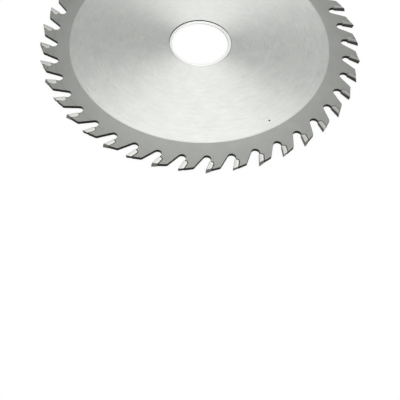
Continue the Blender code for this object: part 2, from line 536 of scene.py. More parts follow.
@dataclass(frozen=True)
class GroundCarbide(Metal):
    """Tungsten carbide, diamond-ground: dense and grey, and each tip a little different from the next.

    The wheel's fine lines draw the light out on the sides, where a thin film of solder also brightens and
    warms the half next to the joint.
    """

    line_spacing: float = 0.08 * MM
    stretch: float = 0.1
    tip_spread: float = 0.5
    film: Reach | None = None
    film_colour: str = "#F6F5EF"

    def draw_marks(self, tree: Tree, place: Socket) -> tuple[Node, Node]:
        """Draw the wheel's lines along the tip, and give each tip its own tone."""
        own = add(tree, "ShaderNodeAttribute", attribute_name=TOOTH_PLACE).outputs["Vector"]
        drawn = add(tree, "ShaderNodeMapping", {"Vector": own, "Scale": (self.stretch, 1.0, 1.0)})
        lined, lines = mottled(tree, drawn, self.line_spacing, levels=(0.1, 0.5))
        chance = add(tree, "ShaderNodeAttribute", attribute_name=TOOTH_CHANCE).outputs["Fac"]
        whole = add(tree, "ShaderNodeMath", {0: chance, 1: self.tip_spread}, operation="MULTIPLY")
        return add(tree, "ShaderNodeMath", {0: lined, 1: whole}, operation="ADD"), lines

    def stains(self, tree: Tree, place: Socket) -> list[tuple[Node, str]]:
        """The film of solder, where there is one."""
        if self.film is None:
            return []
        own = add(tree, "ShaderNodeAttribute", attribute_name=TOOTH_PLACE).outputs["Vector"]
        return [(self.film.share(tree, own), self.film_colour)]


@dataclass(frozen=True)
class SilverBraze(Metal):
    """Silver solder, wetted into the joint: yellowish and smooth, and dark where its flux burned on.

    The joints are dark at their outer ends in the photo, read as burnt flux, and on one side of the blade at
    the shoulder and along the whole joint too, which is painted shade.
    """

    blotch: float = 0.5 * MM
    burnt: Reach = Reach((1.0, 0.0, 0.0), start=55.0 * MM, end=56.6 * MM, most=0.95)
    # Painted shade along the joints and at the shoulder, deepest towards one side of the blade
    shaded_side: Reach = Reach((0.3, -0.95, 0.0), start=10.0 * MM, end=48.0 * MM, most=0.95)
    root_shade_side: Reach = Reach((0.3, -0.95, 0.0), start=-45.0 * MM, end=0.0, most=0.95)
    root_shade: Spot = Spot((53.5 * MM, 1.75 * MM, 0.0), radius=0.65 * MM, upright=True)
    burnt_flux_and_shade_colour: str = "#24231E"

    def draw_marks(self, tree: Tree, place: Socket) -> tuple[Node, Node]:
        """Draw the solder's blotches."""
        return mottled(tree, place, self.blotch, detail=4.0, cut=0.35)

    def stains(self, tree: Tree, place: Socket) -> list[tuple[Node, str]]:
        """The burnt flux at the outer ends, and the painted shade at the shoulder and along the joints."""
        own = add(tree, "ShaderNodeAttribute", attribute_name=TOOTH_PLACE).outputs["Vector"]
        root_shade = self.root_shade.share(tree, own, self.root_shade_side.share(tree, place))
        ends = add(tree, "ShaderNodeMath", {0: self.burnt.share(tree, own), 1: root_shade}, operation="MAXIMUM")
        most = add(tree, "ShaderNodeMath", {0: ends, 1: self.shaded_side.share(tree, place)}, operation="MAXIMUM")
        return [(most, self.burnt_flux_and_shade_colour)]


class Finish(Enum):
    """Every surface of the blade, with what its making gives the eye."""

    # Fine rings, which draw a lamp out into a fan of light on each side of the bore
    LAND = PolishedCentre(
        name="ring_polished_tool_steel", light="#F1F3EF", dark="#DFE2DE",
        roughness=0.344, roughness_spread=0.034, bump=0.04, anisotropic=0.913,
    )
    # A thin bright line, where the polish ends in a low step
    LAND_EDGE = TurnedSteel(
        name="turned_step_in_tool_steel", light="#DADCD8", dark="#C8CAC6",
        roughness=0.32, roughness_spread=0.03, bump=0.05, anisotropic=0.8,
    )
    # An even grey without a streak, because the beads left no direction in it
    RIM = BlastedRim(
        name="bead_blasted_tool_steel", light="#B6B8B4", dark="#9EA19D",
        roughness=0.47, roughness_spread=0.03, bump=0.12, anisotropic=0.37,
    )
    # A grey line round the ring, almost black with painted shade on one side
    BORE = BoreWithPaintedShade(
        name="bored_tool_steel_with_grime", light="#DBDCD9", dark="#C8C9C6",
        roughness=0.6, roughness_spread=0.04, bump=0.1, at_radius=11.0 * MM,
    )
    # A near black band under every tooth and gullet: laser scale, with painted shade as it faces sideways
    CUT_EDGE = LaserCutEdge(
        name="laser_cut_edge_of_tool_steel", light="#2E2E2C", dark="#1B1B1A",
        roughness=0.5, roughness_spread=0.06, bump=0.2,
    )
    # The brightest grey on the teeth, white where it meets the lamp and dark where it turns from it
    TIP_SIDE = GroundCarbide(
        name="side_ground_tungsten_carbide", light="#DCDCDA", dark="#CBCBC8",
        roughness=0.394, roughness_spread=0.02, bump=0.05, anisotropic=0.944,
        film=Reach(TOWARDS_THE_JOINT, start=0.3 * MM, end=1.2 * MM, most=0.6, foot=TOOTH_POINT),
    )
    # Dark in the photo, where the faces look at the table's edge and not at the lamp. The colour was matched
    # to that, so it is darker than the same carbide on the sides, and stays dark under other light
    TIP_FACE = GroundCarbide(
        name="face_ground_tungsten_carbide", light="#474643", dark="#353431",
        roughness=0.35, roughness_spread=0.04, bump=0.08,
    )
    # A mid grey on the tops that are bevelled upwards
    TIP_TOP = GroundCarbide(
        name="top_ground_tungsten_carbide", light="#7A7874", dark="#5E5C58",
        roughness=0.35, roughness_spread=0.04, bump=0.08,
    )
    # The same cut on the tops that are bevelled downwards, a dark line in the photo. The colour was matched
    # to it, and it is painted shade, because the top looks down
    TIP_UNDERCUT = GroundCarbide(
        name="dull_top_of_tungsten_carbide", light="#1F1E1C", dark="#171615",
        roughness=0.45, roughness_spread=0.04, bump=0.08,
    )
    # Matte as it came from the furnace, where no wheel reached
    TIP_BACK = GroundCarbide(
        name="sintered_tungsten_carbide", light="#54534F", dark="#403F3B",
        roughness=0.5, roughness_spread=0.05, bump=0.15,
    )
    # A pale line round each tip's root, dark where the flux burned and with painted shade on one side
    BRAZE = SilverBraze(
        name="silver_braze_with_burnt_flux", light="#CCCCC3", dark="#B2B2A9",
        roughness=0.3, roughness_spread=0.08, bump=0.2,
    )
    # Almost white under the lamp, with its hole as a faint grey line of painted shade
    RING = RingWithShadedHole(
        name="turned_and_reamed_bright_steel", light="#FCFCFB", dark="#F4F5F3",
        roughness=0.55, roughness_spread=0.03, bump=0.05, anisotropic=0.22,
    )


class GeometryRecipe:
    """A Geometry Nodes tree with named inputs, and the way to use it up on one mesh."""

    def __init__(self, name: str) -> None:
        """Start an empty tree.

        Args:
            name: The tree's name.
        """
        self.tree = bpy.data.node_groups.new(name, "GeometryNodeTree")
        self.tree.is_modifier = True
        self.values: dict[str, object] = {}
        self.tree.interface.new_socket("Geometry", in_out="OUTPUT", socket_type="NodeSocketGeometry")
        self.tree.interface.new_socket("Geometry", in_out="INPUT", socket_type="NodeSocketGeometry")
        self.entry = self.tree.nodes.new("NodeGroupInput")

    @property
    def geometry(self) -> Socket:
        """The mesh that the tree is given."""
        return self.entry.outputs["Geometry"]

    def take(self, name: str, kind: str, value: object) -> Socket:
        """Add a named input to the tree.

        Args:
            name: The input's name.
            kind: The end of its socket type, such as Float, Int or Material.
            value: What the modifier gives it.

        Returns:
            The socket inside the tree that has the value.
        """
        made = self.tree.interface.new_socket(name, in_out="INPUT", socket_type="NodeSocket" + kind)
        self.values[made.identifier] = value
        return self.entry.outputs[name]

    def add(self, kind: str, inputs: dict | None = None, **settings) -> Node:
        """Add a node to this tree, as the function add does."""
        return add(self.tree, kind, inputs, **settings)

    def dress(self, geometry: Socket, finish: Finish, zone: Zone | None = None) -> Socket:
        """Set a material, on the whole geometry or on one zone of it.

        Args:
            geometry: What is dressed.
            finish: The finish whose material it gets.
            zone: The zone that gets it, or None for all faces.

        Returns:
            The dressed geometry.
        """
        title = finish.name.replace("_", " ").title() + " Finish"
        inputs = {"Geometry": geometry, "Material": self.take(title, "Material", finish.value.material())}
        if zone is not None:
            own = self.add("GeometryNodeInputNamedAttribute", {"Name": ZONE}, data_type="INT")
            inputs["Selection"] = self.add("FunctionNodeCompare", {
                2: own.outputs[0], 3: zone.value,
            }, data_type="INT", operation="EQUAL").outputs[0]
        return self.add("GeometryNodeSetMaterial", inputs).outputs[0]

    def use(self, mesh: bpy.types.Mesh, geometry: Socket, name: str) -> bpy.types.Mesh:
        """End the tree, run it on a mesh and return what it makes as a plain mesh.

        Args:
            mesh: The mesh that the tree is given.
            geometry: The tree's last geometry.
            name: The new mesh's name.

        Returns:
            The plain mesh.
        """
        self.add("NodeGroupOutput", {"Geometry": geometry})
        carrier = bpy.data.objects.new(name + "_carrier", mesh)
        bpy.context.scene.collection.objects.link(carrier)
        modifier = carrier.modifiers.new("recipe", "NODES")
        modifier.node_group = self.tree
        for identifier, value in self.values.items():
            modifier[identifier] = value
        bpy.context.view_layer.update()
        evaluated = carrier.evaluated_get(bpy.context.evaluated_depsgraph_get())
        plain = bpy.data.meshes.new_from_object(evaluated)
        plain.name = name
        bpy.data.objects.remove(carrier)
        return plain


class RoundTheBlade(GeometryRecipe):
    """A tree that sets one tooth's part of the blade at every tooth."""

    def __init__(self, name: str, teeth: int) -> None:
        """Start the tree with a point and a turn for each tooth.

        Args:
            name: The tree's name.
            teeth: How many teeth the blade has.
        """
        super().__init__(name)
        count = self.take("Teeth", "Int", teeth)
        self.points = self.add("GeometryNodeMeshLine", {"Count": count, "Offset": (0.0, 0.0, 0.0)})
        self.index = self.add("GeometryNodeInputIndex").outputs[0]
        pitch = self.add("ShaderNodeMath", {0: math.tau, 1: count}, operation="DIVIDE")
        angle = self.add("ShaderNodeMath", {0: self.index, 1: pitch.outputs[0]}, operation="MULTIPLY")
        self.turn = self.add("ShaderNodeCombineXYZ", {"Z": angle.outputs[0]})

    def marked(self, geometry: Socket) -> Socket:
        """Store the place that each point has at the first tooth, for the materials of all the teeth.

        Args:
            geometry: One tooth's geometry.

        Returns:
            The same geometry with the attribute.
        """
        here = self.add("GeometryNodeInputPosition").outputs[0]
        return self.add("GeometryNodeStoreNamedAttribute", {
            "Geometry": geometry, "Name": TOOTH_PLACE, "Value": here,
        }, data_type="FLOAT_VECTOR", domain="POINT").outputs[0]

    def repeat(self, geometry: Socket, every_other_from: int | None = None) -> Socket:
        """Set copies of the geometry at the teeth.

        Args:
            geometry: One tooth's geometry, in place at the first tooth.
            every_other_from: 0 or 1 to fill every other tooth from that one on, or None to fill them all.

        Returns:
            The copies, realized.
        """
        inputs = {"Points": self.points.outputs[0], "Instance": geometry, "Rotation": self.turn.outputs[0]}
        if every_other_from is not None:
            odd = self.add("ShaderNodeMath", {0: self.index, 1: 2.0}, operation="MODULO")
            inputs["Selection"] = self.add("FunctionNodeCompare", {
                0: odd.outputs[0], 1: float(every_other_from),
            }, operation="EQUAL").outputs[0]
        copies = self.add("GeometryNodeInstanceOnPoints", inputs)
        chance = self.add("FunctionNodeRandomValue", {"Seed": SEED}, data_type="FLOAT")
        told = self.add("GeometryNodeStoreNamedAttribute", {
            "Geometry": copies.outputs[0], "Name": TOOTH_CHANCE, "Value": chance.outputs[1],
        }, data_type="FLOAT", domain="INSTANCE")
        return self.add("GeometryNodeRealizeInstances", {"Geometry": told.outputs[0]}).outputs[0]


@dataclass(frozen=True)
class ToothForm:
    """One tooth seen along the blade's axis, as a flat outline.

    The tooth's own frame has x back from the cutting edge, and y out along the radius through the point.
    """

    teeth: int
    tip_radius: float
    hook: float = 20.0
    clearance: float = 17.0
    tip_length: float = 4.2 * MM
    tip_thickness: float = 1.5 * MM
    tip_root_radius: float = 0.6 * MM
    braze_gap: float = 0.25 * MM
    shoulder_setback: float = 0.3 * MM
    top_length: float = 5.2 * MM
    top_drop: float = 0.12 * MM
    heel_radius: float = 0.9 * MM
    gullet_depth: float = 6.4 * MM
    gullet_radius: float = 1.4 * MM
    gullet_offset: float = 0.6 * MM
    gullet_steps: int = 9
    corner_steps: int = 6

    @property
    def pitch(self) -> float:
        """The angle from one tooth to the next, in radians."""
        return math.tau / self.teeth

    @property
    def gullet_bottom(self) -> float:
        """The radius that the gullets reach down to."""
        return self.tip_radius - self.gullet_depth

    @property
    def gullet_centre(self) -> Vector:
        """The centre of the gullet in front of the tooth."""
        return Vector((self.gullet_offset, self.gullet_bottom + self.gullet_radius, 0))

    @property
    def point(self) -> Vector:
        """The tooth's point."""
        return Vector((0, self.tip_radius, 0))

    @property
    def down_face(self) -> Vector:
        """The direction down the tip's cutting face."""
        return Vector((math.sin(math.radians(self.hook)), -math.cos(math.radians(self.hook)), 0))

    @property
    def behind_face(self) -> Vector:
        """The direction from the cutting face to the tip's back."""
        return Vector((-self.down_face.y, self.down_face.x, 0))

    @property
    def down_top(self) -> Vector:
        """The direction back along the tooth's top."""
        return Vector((math.cos(math.radians(self.clearance)), -math.sin(math.radians(self.clearance)), 0))

    def root(self, margin: float, overrun: float) -> list[Vector]:
        """The line down to the root of the tip, round it and up its back.

        Args:
            margin: How far outside the tip the line runs. The seat has the braze gap here.
            overrun: How far past the point's level the line's last end goes.

        Returns:
            The line's points.
        """
        floor = self.point + self.down_face * (self.tip_length + margin)
        corner = floor + self.behind_face * (self.tip_thickness + margin)
        back = self.point + self.behind_face * (self.tip_thickness + margin) - self.down_face * overrun
        return [floor, *rounded(floor, corner, back, self.tip_root_radius + margin, self.corner_steps), back]

    def seat_top(self) -> Vector:
        """Find where the back of the seat meets the tooth's top.

        Returns:
            The place, in the tooth's own frame.
        """
        start = self.point - Vector((0, self.top_drop, 0))
        back = self.root(self.braze_gap, 0.0)[-1]
        reach = (start - back).cross(self.down_top).z / self.down_face.cross(self.down_top).z
        return back + self.down_face * reach

    def outline(self) -> list[Vector]:
        """Draw the plate's edge from one gullet's bottom, over the tooth, to the next gullet's bottom.

        Returns:
            The edge's points, in the tooth's own frame.
        """
        floor, *seat, _ = self.root(self.braze_gap, 0.0)
        shoulder = floor + self.behind_face * self.shoulder_setback
        heel = self.point - Vector((0, self.top_drop, 0)) + self.down_top * self.top_length
        centre = self.gullet_centre
        behind = Matrix.Rotation(-self.pitch, 3, "Z") @ centre
        rise_end = touch_angle(shoulder, centre, self.gullet_radius, 1)
        fall_start = touch_angle(heel, behind, self.gullet_radius, -1) - math.tau
        rise = arc(centre, self.gullet_radius, angle_of(-centre), rise_end, self.gullet_steps)
        fall = arc(behind, self.gullet_radius, fall_start, angle_of(-behind), self.gullet_steps)
        back = rounded(self.seat_top(), heel, fall[0], self.heel_radius, self.corner_steps)
        return [*rise, shoulder, *seat, self.seat_top(), *back, *fall]

    def on_blade(self, place: Vector) -> Vector:
        """Turn a point of the tooth's own frame into the blade's, at the first tooth on +X."""
        return Vector((place.y, place.x, place.z))


def angle_of(vector: Vector) -> float:
    """The angle that a flat vector makes with x, in radians."""
    return math.atan2(vector.y, vector.x)


def arc(centre: Vector, radius: float, start: float, end: float, steps: int) -> list[Vector]:
    """Points on an arc, both ends included.

    Args:
        centre: The arc's centre.
        radius: Its radius.
        start: The angle of its first point, in radians.
        end: The angle of its last point, in radians.
        steps: How many steps it takes.

    Returns:
        The points.
    """
    angles = [start + (end - start) * i / steps for i in range(steps + 1)]
    return [centre + radius * Vector((math.cos(a), math.sin(a), 0)) for a in angles]


def rounded(before: Vector, corner: Vector, after: Vector, radius: float, steps: int) -> list[Vector]:
    """The arc that rounds the corner between two straight lines.

    Args:
        before: A point on the line that comes in.
        corner: Where the lines meet.
        after: A point on the line that goes out.
        radius: The arc's radius.
        steps: How many steps it takes.

    Returns:
        The arc's points, in order.
    """
    back = (before - corner).normalized()
    ahead = (after - corner).normalized()
    half = back.angle(ahead) / 2
    centre = corner + (back + ahead).normalized() * radius / math.sin(half)
    start = angle_of(corner + back * radius / math.tan(half) - centre)
    end = angle_of(corner + ahead * radius / math.tan(half) - centre)
    sweep = (end - start + math.pi) % math.tau - math.pi
    return arc(centre, radius, start, start + sweep, steps)


def touch_angle(place: Vector, centre: Vector, radius: float, side: int) -> float:
    """Where the line from a point touches a circle.

    Args:
        place: The point.
        centre: The circle's centre.
        radius: The circle's radius.
        side: Which of the two lines, 1 or -1.

    Returns:
        The touching point's angle about the centre, in radians.
    """
    away = place - centre
    return angle_of(away) - side * math.acos(radius / away.length)


def closed_mesh(bm: bmesh.types.BMesh, name: str) -> bpy.types.Mesh:
    """Turn a bmesh's faces outwards and make it a mesh.

    Args:
        bm: The bmesh, which is freed.
        name: The mesh's name.

    Returns:
        The mesh.
    """
    bmesh.ops.recalc_face_normals(bm, faces=bm.faces)
    if bm.calc_volume(signed=True) < 0:
        bmesh.ops.reverse_faces(bm, faces=bm.faces)
    mesh = bpy.data.meshes.new(name)
    bm.to_mesh(mesh)
    bm.free()
    return mesh


def smooth_where_round(mesh: bpy.types.Mesh, below: float = 22.0) -> None:
    """Shade a mesh smooth, with sharp edges where its faces meet at more than an angle in degrees."""
    mesh.shade_smooth()
    mesh.set_sharp_from_angle(angle=math.radians(below))


def bring(mesh: bpy.types.Mesh, name: str, nodes: list[str]) -> bpy.types.Object:
    """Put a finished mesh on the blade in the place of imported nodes.

    Args:
        mesh: The mesh, in its place.
        name: The piece's name.
        nodes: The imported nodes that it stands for.

    Returns:
        The new piece.
    """
    piece = bpy.data.objects.new(name, mesh)
    bpy.context.scene.collection.objects.link(piece)
    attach(piece, BODY)
    if nodes:
        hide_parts(*nodes)
    LOG.info("%s: %d faces, stands for %d nodes", name, len(mesh.polygons), len(nodes))
    return piece


@dataclass
class Plate:
    """The steel disc, made as one tooth's sector and set round the axis.

    The photo shows it a little thicker than the solids have it, with its polished centre off the axis.
    """

    form: ToothForm
    thickness: float = 1.2 * MM
    bore_radius: float = 11.115 * MM
    rim_width: float = 4.2 * MM
    land_bevel: float = 0.4 * MM
    land_height: float = 0.04 * MM
    land_offset: Triple = (-0.46 * MM, 0.98 * MM, 0.0)
    bore_chamfer: float = 0.3 * MM
    chamfer_depth: float = 0.5 * MM
    edge_break: float = 0.065 * MM
    circle_steps: int = 9
    weld: float = 0.001 * MM
    # Edges that turn by more than this are broken, and faces more level than this are shaded flat
    sharp_above: float = 60.0
    level_above: float = 0.99999

    @property
    def land_radius(self) -> float:
        """How far out the step of the polished centre starts."""
        return self.form.gullet_bottom - self.rim_width

    @property
    def land_z(self) -> float:
        """How high the polished centre stands."""
        return self.thickness / 2 + self.land_height

    def circles(self) -> list[tuple[float, float, Zone]]:
        """The radius and height of each circle inside the toothed edge, and the zone outside it."""
        return [
            (self.land_radius, self.thickness / 2, Zone.RIM),
            (self.land_radius - self.land_bevel, self.land_z, Zone.LAND_EDGE),
            (self.bore_radius + self.bore_chamfer, self.land_z, Zone.LAND),
            (self.bore_radius, self.land_z - self.chamfer_depth, Zone.BORE),
        ]

    def sector(self) -> bpy.types.Mesh:
        """Make the sector of one tooth, open where it meets its neighbours, with its zones on its faces.

        Returns:
            The sector's mesh.
        """
        bm = bmesh.new()
        zone = bm.faces.layers.int.new(ZONE)
        outline = [self.form.on_blade(p) for p in self.form.outline()]
        start = angle_of(outline[0])
        end = start + self.form.pitch
        sides = []
        for side in (1, -1):
            edge = [bm.verts.new((p.x, p.y, side * self.thickness / 2)) for p in outline]
            rings = [edge]
            for radius, height, _ in self.circles():
                points = arc(Vector((0, 0, side * height)), radius, start, end, self.circle_steps)
                rings.append([bm.verts.new(p) for p in points])
            bm.faces.new([*edge, *reversed(rings[1])])[zone] = Zone.RIM.value
            for outer, inner, (_, _, kind) in zip(rings[1:], rings[2:], self.circles()[1:]):
                self.strip(bm, outer, inner, kind)
            sides.append(rings)
        self.strip(bm, sides[0][0], sides[1][0], Zone.CUT_EDGE)
        self.strip(bm, sides[0][-1], sides[1][-1], Zone.BORE)
        bmesh.ops.recalc_face_normals(bm, faces=bm.faces)
        mesh = bpy.data.meshes.new("plate_sector")
        bm.to_mesh(mesh)
        bm.free()
        return mesh

    def strip(self, bm: bmesh.types.BMesh, a: list, b: list, kind: Zone) -> None:
        """Join two rows of vertices by faces of one zone.

        Args:
            bm: The sector.
            a: One row.
            b: The other row, with as many vertices.
            kind: The faces' zone.
        """
        zone = bm.faces.layers.int[ZONE]
        for i in range(len(a) - 1):
            bm.faces.new((a[i], a[i + 1], b[i + 1], b[i]))[zone] = kind.value

    def build(self) -> bpy.types.Object:
        """Make the whole plate and dress each zone.

        Returns:
            The piece.
        """
        recipe = RoundTheBlade("Plate From One Tooth", self.form.teeth)
        sectors = recipe.repeat(recipe.marked(recipe.geometry))
        weld = recipe.take("Weld Distance", "Float", self.weld)
        plate = recipe.add("GeometryNodeMergeByDistance", {"Geometry": sectors, "Distance": weld}).outputs[0]
        plate = self.polish_off_centre(recipe, plate)
        for zone in (Zone.RIM, Zone.LAND_EDGE, Zone.LAND, Zone.BORE, Zone.CUT_EDGE):
            plate = recipe.dress(plate, Finish[zone.name], zone)
        mesh = recipe.use(self.sector(), plate, "saw_plate")
        self.break_edges(mesh)
        return bring(mesh, "saw_plate", ["blade_plate"])

    def polish_off_centre(self, recipe: GeometryRecipe, plate: Socket) -> Socket:
        """Move the polished centre's edge a little aside, as the polishing left it.

        Args:
            recipe: The plate's tree.
            plate: The plate.

        Returns:
            The plate with the edge moved.
        """
        offset = recipe.take("Polish Offset", "Vector", self.land_offset)
        middle = recipe.take("Polish Edge Radius", "Float", self.land_radius)
        here = recipe.add("GeometryNodeInputPosition")
        near = recipe.add("FunctionNodeCompare", {
            0: from_upright(recipe.tree, here), 1: middle, "Epsilon": 2 * self.land_bevel,
        }, operation="EQUAL")
        return recipe.add("GeometryNodeSetPosition", {
            "Geometry": plate, "Selection": near, "Offset": offset,
        }).outputs[0]

    def break_edges(self, mesh: bpy.types.Mesh) -> None:
        """Take the sharpness off the plate's edges, as tumbling does, and shade it.

        The broken edges are as dark as the laser's cut beside them, and the flat faces stay flat.

        Args:
            mesh: The plate, which is changed.
        """
        bm = bmesh.new()
        bm.from_mesh(mesh)
        bmesh.ops.recalc_face_normals(bm, faces=bm.faces)
        sharp = math.radians(self.sharp_above)
        edges = [e for e in bm.edges if len(e.link_faces) == 2 and e.calc_face_angle() > sharp]
        scale = mesh.materials.find(Finish.CUT_EDGE.value.name)
        bmesh.ops.bevel(
            bm, geom=edges, offset=self.edge_break, segments=1, profile=0.5, affect="EDGES", material=scale
        )
        bm.to_mesh(mesh)
        bm.free()
        smooth_where_round(mesh)
        for face in mesh.polygons:
            if abs(face.normal.z) > self.level_above:
                face.use_smooth = False


@dataclass
class Tips:
    """The carbide tips, ground alternately to one side and the other.

    The photo shows their sides leaner and their tops flatter than the solids have them, with honed edges.
    """

    form: ToothForm
    kerf: float
    nodes: list[str]
    top_bevel: float = 12.0
    radial_side: float = 2.5
    tangential_side: float = 3.0
    honed: float = 0.08 * MM
    # How much of a face's normal lies along a direction that it faces squarely, and that it is turned to
    square_on: float = 0.9
    turned_to: float = 0.5

    def tip(self, long_side: LongSide) -> bpy.types.Mesh:
        """Make one tip at the first tooth: a block of the outline, with its sides and its top ground.

        Args:
            long_side: The side of its long point.

        Returns:
            The tip's mesh.
        """
        bm = bmesh.new()
        outline = [self.form.point - self.form.down_face * self.kerf, *self.form.root(0.0, self.kerf)]
        bm.faces.new([bm.verts.new(p - Vector((0, 0, self.kerf))) for p in outline])
        block = bmesh.ops.extrude_face_region(bm, geom=list(bm.faces))["geom"]
        upper = [item for item in block if isinstance(item, bmesh.types.BMVert)]
        bmesh.ops.translate(bm, verts=upper, vec=(0, 0, 2 * self.kerf))
        radial = self.form.down_face * math.tan(math.radians(self.radial_side))
        tangential = self.form.behind_face * math.tan(math.radians(self.tangential_side))
        for side in LongSide:
            up = Vector((0, 0, side.value))
            self.grind(bm, self.form.point + up * self.kerf / 2, up + radial + tangential)
        up = Vector((0, 0, long_side.value))
        relief = Vector((math.tan(math.radians(self.form.clearance)), 1, 0))
        bevelled = relief - up * math.tan(math.radians(self.top_bevel))
        self.grind(bm, self.form.point + up * self.kerf / 2, bevelled)
        self.hone(bm, relief)
        self.name_faces(bm, relief, long_side)
        for vert in bm.verts:
            vert.co = self.form.on_blade(vert.co)
        return closed_mesh(bm, "tip_long_" + long_side.name.lower())

    def side_z(self, place: Vector) -> float:
        """Find how high the tips' sides stand.

        Args:
            place: The place, in the tooth's own frame and the plate's middle plane.

        Returns:
            The height over that plane.
        """
        away = place - self.form.point
        down = away.dot(self.form.down_face) * math.tan(math.radians(self.radial_side))
        behind = away.dot(self.form.behind_face) * math.tan(math.radians(self.tangential_side))
        return self.kerf / 2 - down - behind

    def name_faces(self, bm: bmesh.types.BMesh, relief: Vector, long_side: LongSide) -> None:
        """Store each face's zone by the way it looks.

        Args:
            bm: The tip, in the tooth's own frame.
            relief: The direction out of the tip's top.
            long_side: The side of its long point. A top with that side above looks down.
        """
        top = Zone.TIP_UNDERCUT if long_side is LongSide.ABOVE else Zone.TIP_TOP
        bmesh.ops.recalc_face_normals(bm, faces=bm.faces)
        zone = bm.faces.layers.int.new(ZONE)
        for face in bm.faces:
            if abs(face.normal.z) > self.square_on:
                face[zone] = Zone.TIP_SIDE.value
            elif face.normal.dot(-self.form.behind_face) > self.turned_to:
                face[zone] = Zone.TIP_FACE.value
            elif face.normal.dot(relief.normalized()) > self.turned_to:
                face[zone] = top.value
            else:
                face[zone] = Zone.TIP_BACK.value

    def hone(self, bm: bmesh.types.BMesh, relief: Vector) -> None:
        """Take the sharpness off the edges of the sides along the cutting face and the top.

        Args:
            bm: The tip, in the tooth's own frame.
            relief: The direction out of the tip's top.
        """
        bmesh.ops.recalc_face_normals(bm, faces=bm.faces)
        outward = (-self.form.behind_face, relief.normalized())
        edges = [
            edge for edge in bm.edges
            if any(face.normal.dot(way) > self.square_on for face in edge.link_faces for way in outward)
            and any(abs(face.normal.z) > self.square_on for face in edge.link_faces)
        ]
        bmesh.ops.bevel(bm, geom=edges, offset=self.honed, segments=1, profile=0.5, affect="EDGES")

    def grind(self, bm: bmesh.types.BMesh, place: Vector, outward: Vector) -> None:
        """Take away what stands outside a plane and close the cut.

        Args:
            bm: The tip.
            place: A point on the plane.
            outward: The direction out of the tip.
        """
        geometry = [*bm.verts, *bm.edges, *bm.faces]
        cut = bmesh.ops.bisect_plane(
            bm, geom=geometry, plane_co=place, plane_no=outward.normalized(), clear_outer=True
        )
        edges = [item for item in cut["geom_cut"] if isinstance(item, bmesh.types.BMEdge)]
        bmesh.ops.edgenet_fill(bm, edges=edges)

    def build(self) -> bpy.types.Object:
        """Set a tip at every tooth: long above at the first, and then in turn.

        Returns:
            The piece.
        """
        recipe = RoundTheBlade("Tips Ground In Turn", self.form.teeth)
        below = bpy.data.objects.new("tip_long_below", self.tip(LongSide.BELOW))
        bpy.context.scene.collection.objects.link(below)
        other = recipe.take("Other Tip", "Object", below)
        info = recipe.add("GeometryNodeObjectInfo", {"Object": other})
        even = recipe.repeat(recipe.marked(recipe.geometry), every_other_from=0)
        odd = recipe.repeat(recipe.marked(info.outputs["Geometry"]), every_other_from=1)
        both = recipe.add("GeometryNodeJoinGeometry")
        for geometry in (even, odd):
            recipe.tree.links.new(geometry, both.inputs[0])
        dressed = both.outputs[0]
        for zone in (Zone.TIP_SIDE, Zone.TIP_FACE, Zone.TIP_TOP, Zone.TIP_UNDERCUT, Zone.TIP_BACK):
            dressed = recipe.dress(dressed, Finish[zone.name], zone)
        mesh = recipe.use(self.tip(LongSide.ABOVE), dressed, "carbide_tips")
        bpy.data.objects.remove(below)
        smooth_where_round(mesh)
        return bring(mesh, "carbide_tips", self.nodes)


@dataclass
class Braze:
    """The solder in each seat, with a hollow fillet from the tip's side down to each face of the plate."""

    form: ToothForm
    tips: Tips
    plate_z: float
    overlap: float = 0.02 * MM
    least_rise: float = 0.03 * MM
    fillet: float = 0.05 * MM
    fillet_steps: int = 4

    def section(self, here: Vector) -> list[tuple[float, float]]:
        """The bead's section at a place in the joint.

        Args:
            here: The place, in the tooth's own frame.

        Returns:
            The section's points: across the joint from the tip to the plate, and up the blade's axis.
        """
        tip_side = -self.form.braze_gap / 2 - self.overlap
        plate_side = self.form.braze_gap / 2 + self.overlap
        foot = plate_side + self.fillet
        top = max(self.tips.side_z(here) - self.overlap, self.plate_z + self.least_rise)
        rise = top - self.plate_z
        curve = []
        for i in range(self.fillet_steps + 1):
            angle = math.pi / 2 * i / self.fillet_steps
            across = foot - (foot - tip_side) * math.cos(angle)
            curve.append((across, top - rise * math.sin(angle)))
        upper = [*curve, (plate_side, self.plate_z - self.overlap)]
        return [*upper, *[(across, -up) for across, up in reversed(upper)]]

    def bead(self) -> bpy.types.Mesh:
        """Sweep the section along the seat of the first tooth.

        Returns:
            The bead's mesh.
        """
        half = self.form.braze_gap / 2
        floor, *bend, _ = self.form.root(half, 0.0)
        shoulder = floor + self.form.behind_face * self.form.shoulder_setback
        top = self.form.seat_top() - self.form.behind_face * half + self.form.down_face * self.overlap
        path = [shoulder, *bend, top]
        bm = bmesh.new()
        rings = []
        for i, here in enumerate(path):
            before = path[max(i - 1, 0)]
            after = path[min(i + 1, len(path) - 1)]
            along = (after - before).normalized()
            outward = Vector((along.y, -along.x, 0))
            places = [here + outward * across + Vector((0, 0, up)) for across, up in self.section(here)]
            rings.append([bm.verts.new(self.form.on_blade(p)) for p in places])
        for ring, following in zip(rings, rings[1:]):
            for i in range(len(ring)):
                bm.faces.new((ring[i - 1], ring[i], following[i], following[i - 1]))
        bm.faces.new(rings[0])
        bm.faces.new(rings[-1])
        return closed_mesh(bm, "braze_bead")

    def build(self) -> bpy.types.Object:
        """Set a bead at every tooth.

        Returns:
            The piece.
        """
        recipe = RoundTheBlade("Braze At Every Tooth", self.form.teeth)
        beads = recipe.repeat(recipe.marked(recipe.geometry))
        mesh = recipe.use(self.bead(), recipe.dress(beads, Finish.BRAZE), "braze_joints")
        smooth_where_round(mesh)
        return bring(mesh, "braze_joints", [])


